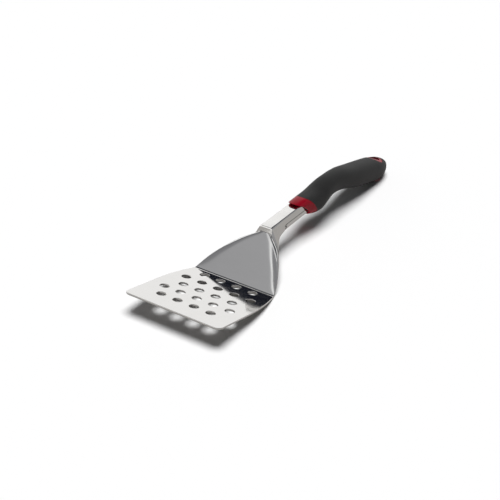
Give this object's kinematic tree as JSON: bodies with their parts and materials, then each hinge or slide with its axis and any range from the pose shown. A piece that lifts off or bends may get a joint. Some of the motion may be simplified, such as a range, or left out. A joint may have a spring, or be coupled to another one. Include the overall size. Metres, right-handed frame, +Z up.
{
  "type": "grill spatula",
  "caption": "Perforated steel grill spatula with a bent-up shoulder, hollow stem, rigid collar and soft grip with a hang hole.",
  "frame": {"origin": "on the surface that the spatula rests on, under the middle of its length and width", "axes": "+X from the blade towards the handle, +Z up, Y across; symmetric about the X-Z plane"},
  "size_m": [0.3436, 0.086, 0.0383],
  "materials": {
    "pressed_steel": "polished stainless steel, satin on the shoulder",
    "stem_steel": "satin polished",
    "plain_steel": "mill finish",
    "core_plastic": "glossy dark red",
    "grip_rubber": "matte dark grey soft-touch"
  },
  "bodies": {
    "root": {"blade_and_shoulder": "pressed_steel", "stem_upper_shell": "stem_steel", "stem_lower_shell": "stem_steel", "tang_bar": "plain_steel", "handle_core_left": "core_plastic", "handle_core_right": "core_plastic", "core_screws": "plain_steel", "grip_overmould": "grip_rubber"}
  },
  "joints": []
}
